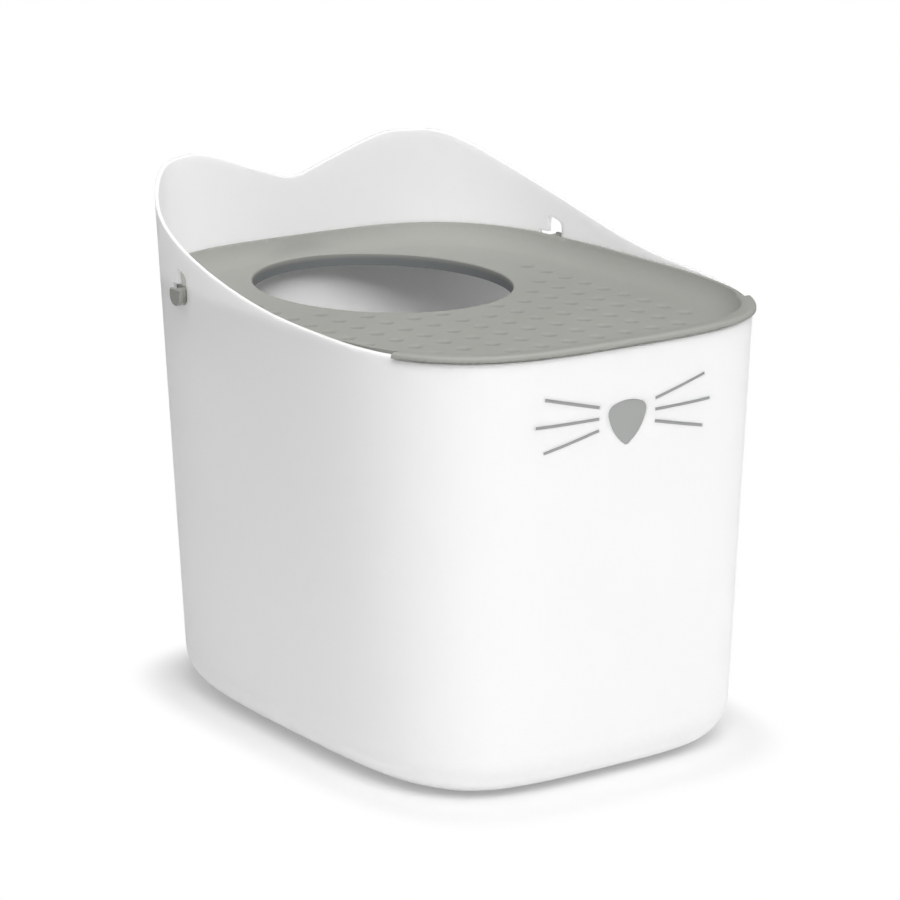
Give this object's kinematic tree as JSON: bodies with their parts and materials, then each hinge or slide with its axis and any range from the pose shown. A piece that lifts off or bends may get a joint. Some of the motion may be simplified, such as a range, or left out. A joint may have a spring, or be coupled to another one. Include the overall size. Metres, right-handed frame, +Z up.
{
  "type": "top entry litter box",
  "caption": "Deep tub with a rim that sweeps up into two ears and a dished lid with an oval entry, which hinges up on side tabs.",
  "frame": {"origin": "on the floor, under the centre of the whole box: midway between its sides and between the front of the lip and the back of the ears", "axes": "+X to the right as seen from the front, +Y from the front with the nose to the back with the ears, +Z up"},
  "size_m": [0.3934, 0.4904, 0.447],
  "materials": {
    "tub_plastic": "white polypropylene, satin",
    "lid_plastic": "warm grey polypropylene, fine matt grain",
    "inlay_plastic": "grey plastic, smooth",
    "foot_rubber": "dark grey soft rubber"
  },
  "bodies": {
    "tub": {"tub": "tub_plastic", "nose": "inlay_plastic", "whisker_upper_left": "inlay_plastic", "whisker_upper_right": "inlay_plastic", "whisker_middle_left": "inlay_plastic", "whisker_middle_right": "inlay_plastic", "whisker_lower_left": "inlay_plastic", "whisker_lower_right": "inlay_plastic", "foot_front_left": "foot_rubber", "foot_front_right": "foot_rubber", "foot_back_left": "foot_rubber", "foot_back_right": "foot_rubber"},
    "lid": {"lid": "lid_plastic"}
  },
  "joints": [
    {"name": "lid_hinge", "type": "hinge", "parent": "tub", "child": "lid", "pos_m": [0, 0.11, 0.3586], "axis": [-1, 0, 0], "range_deg": [0, 90]}
  ]
}
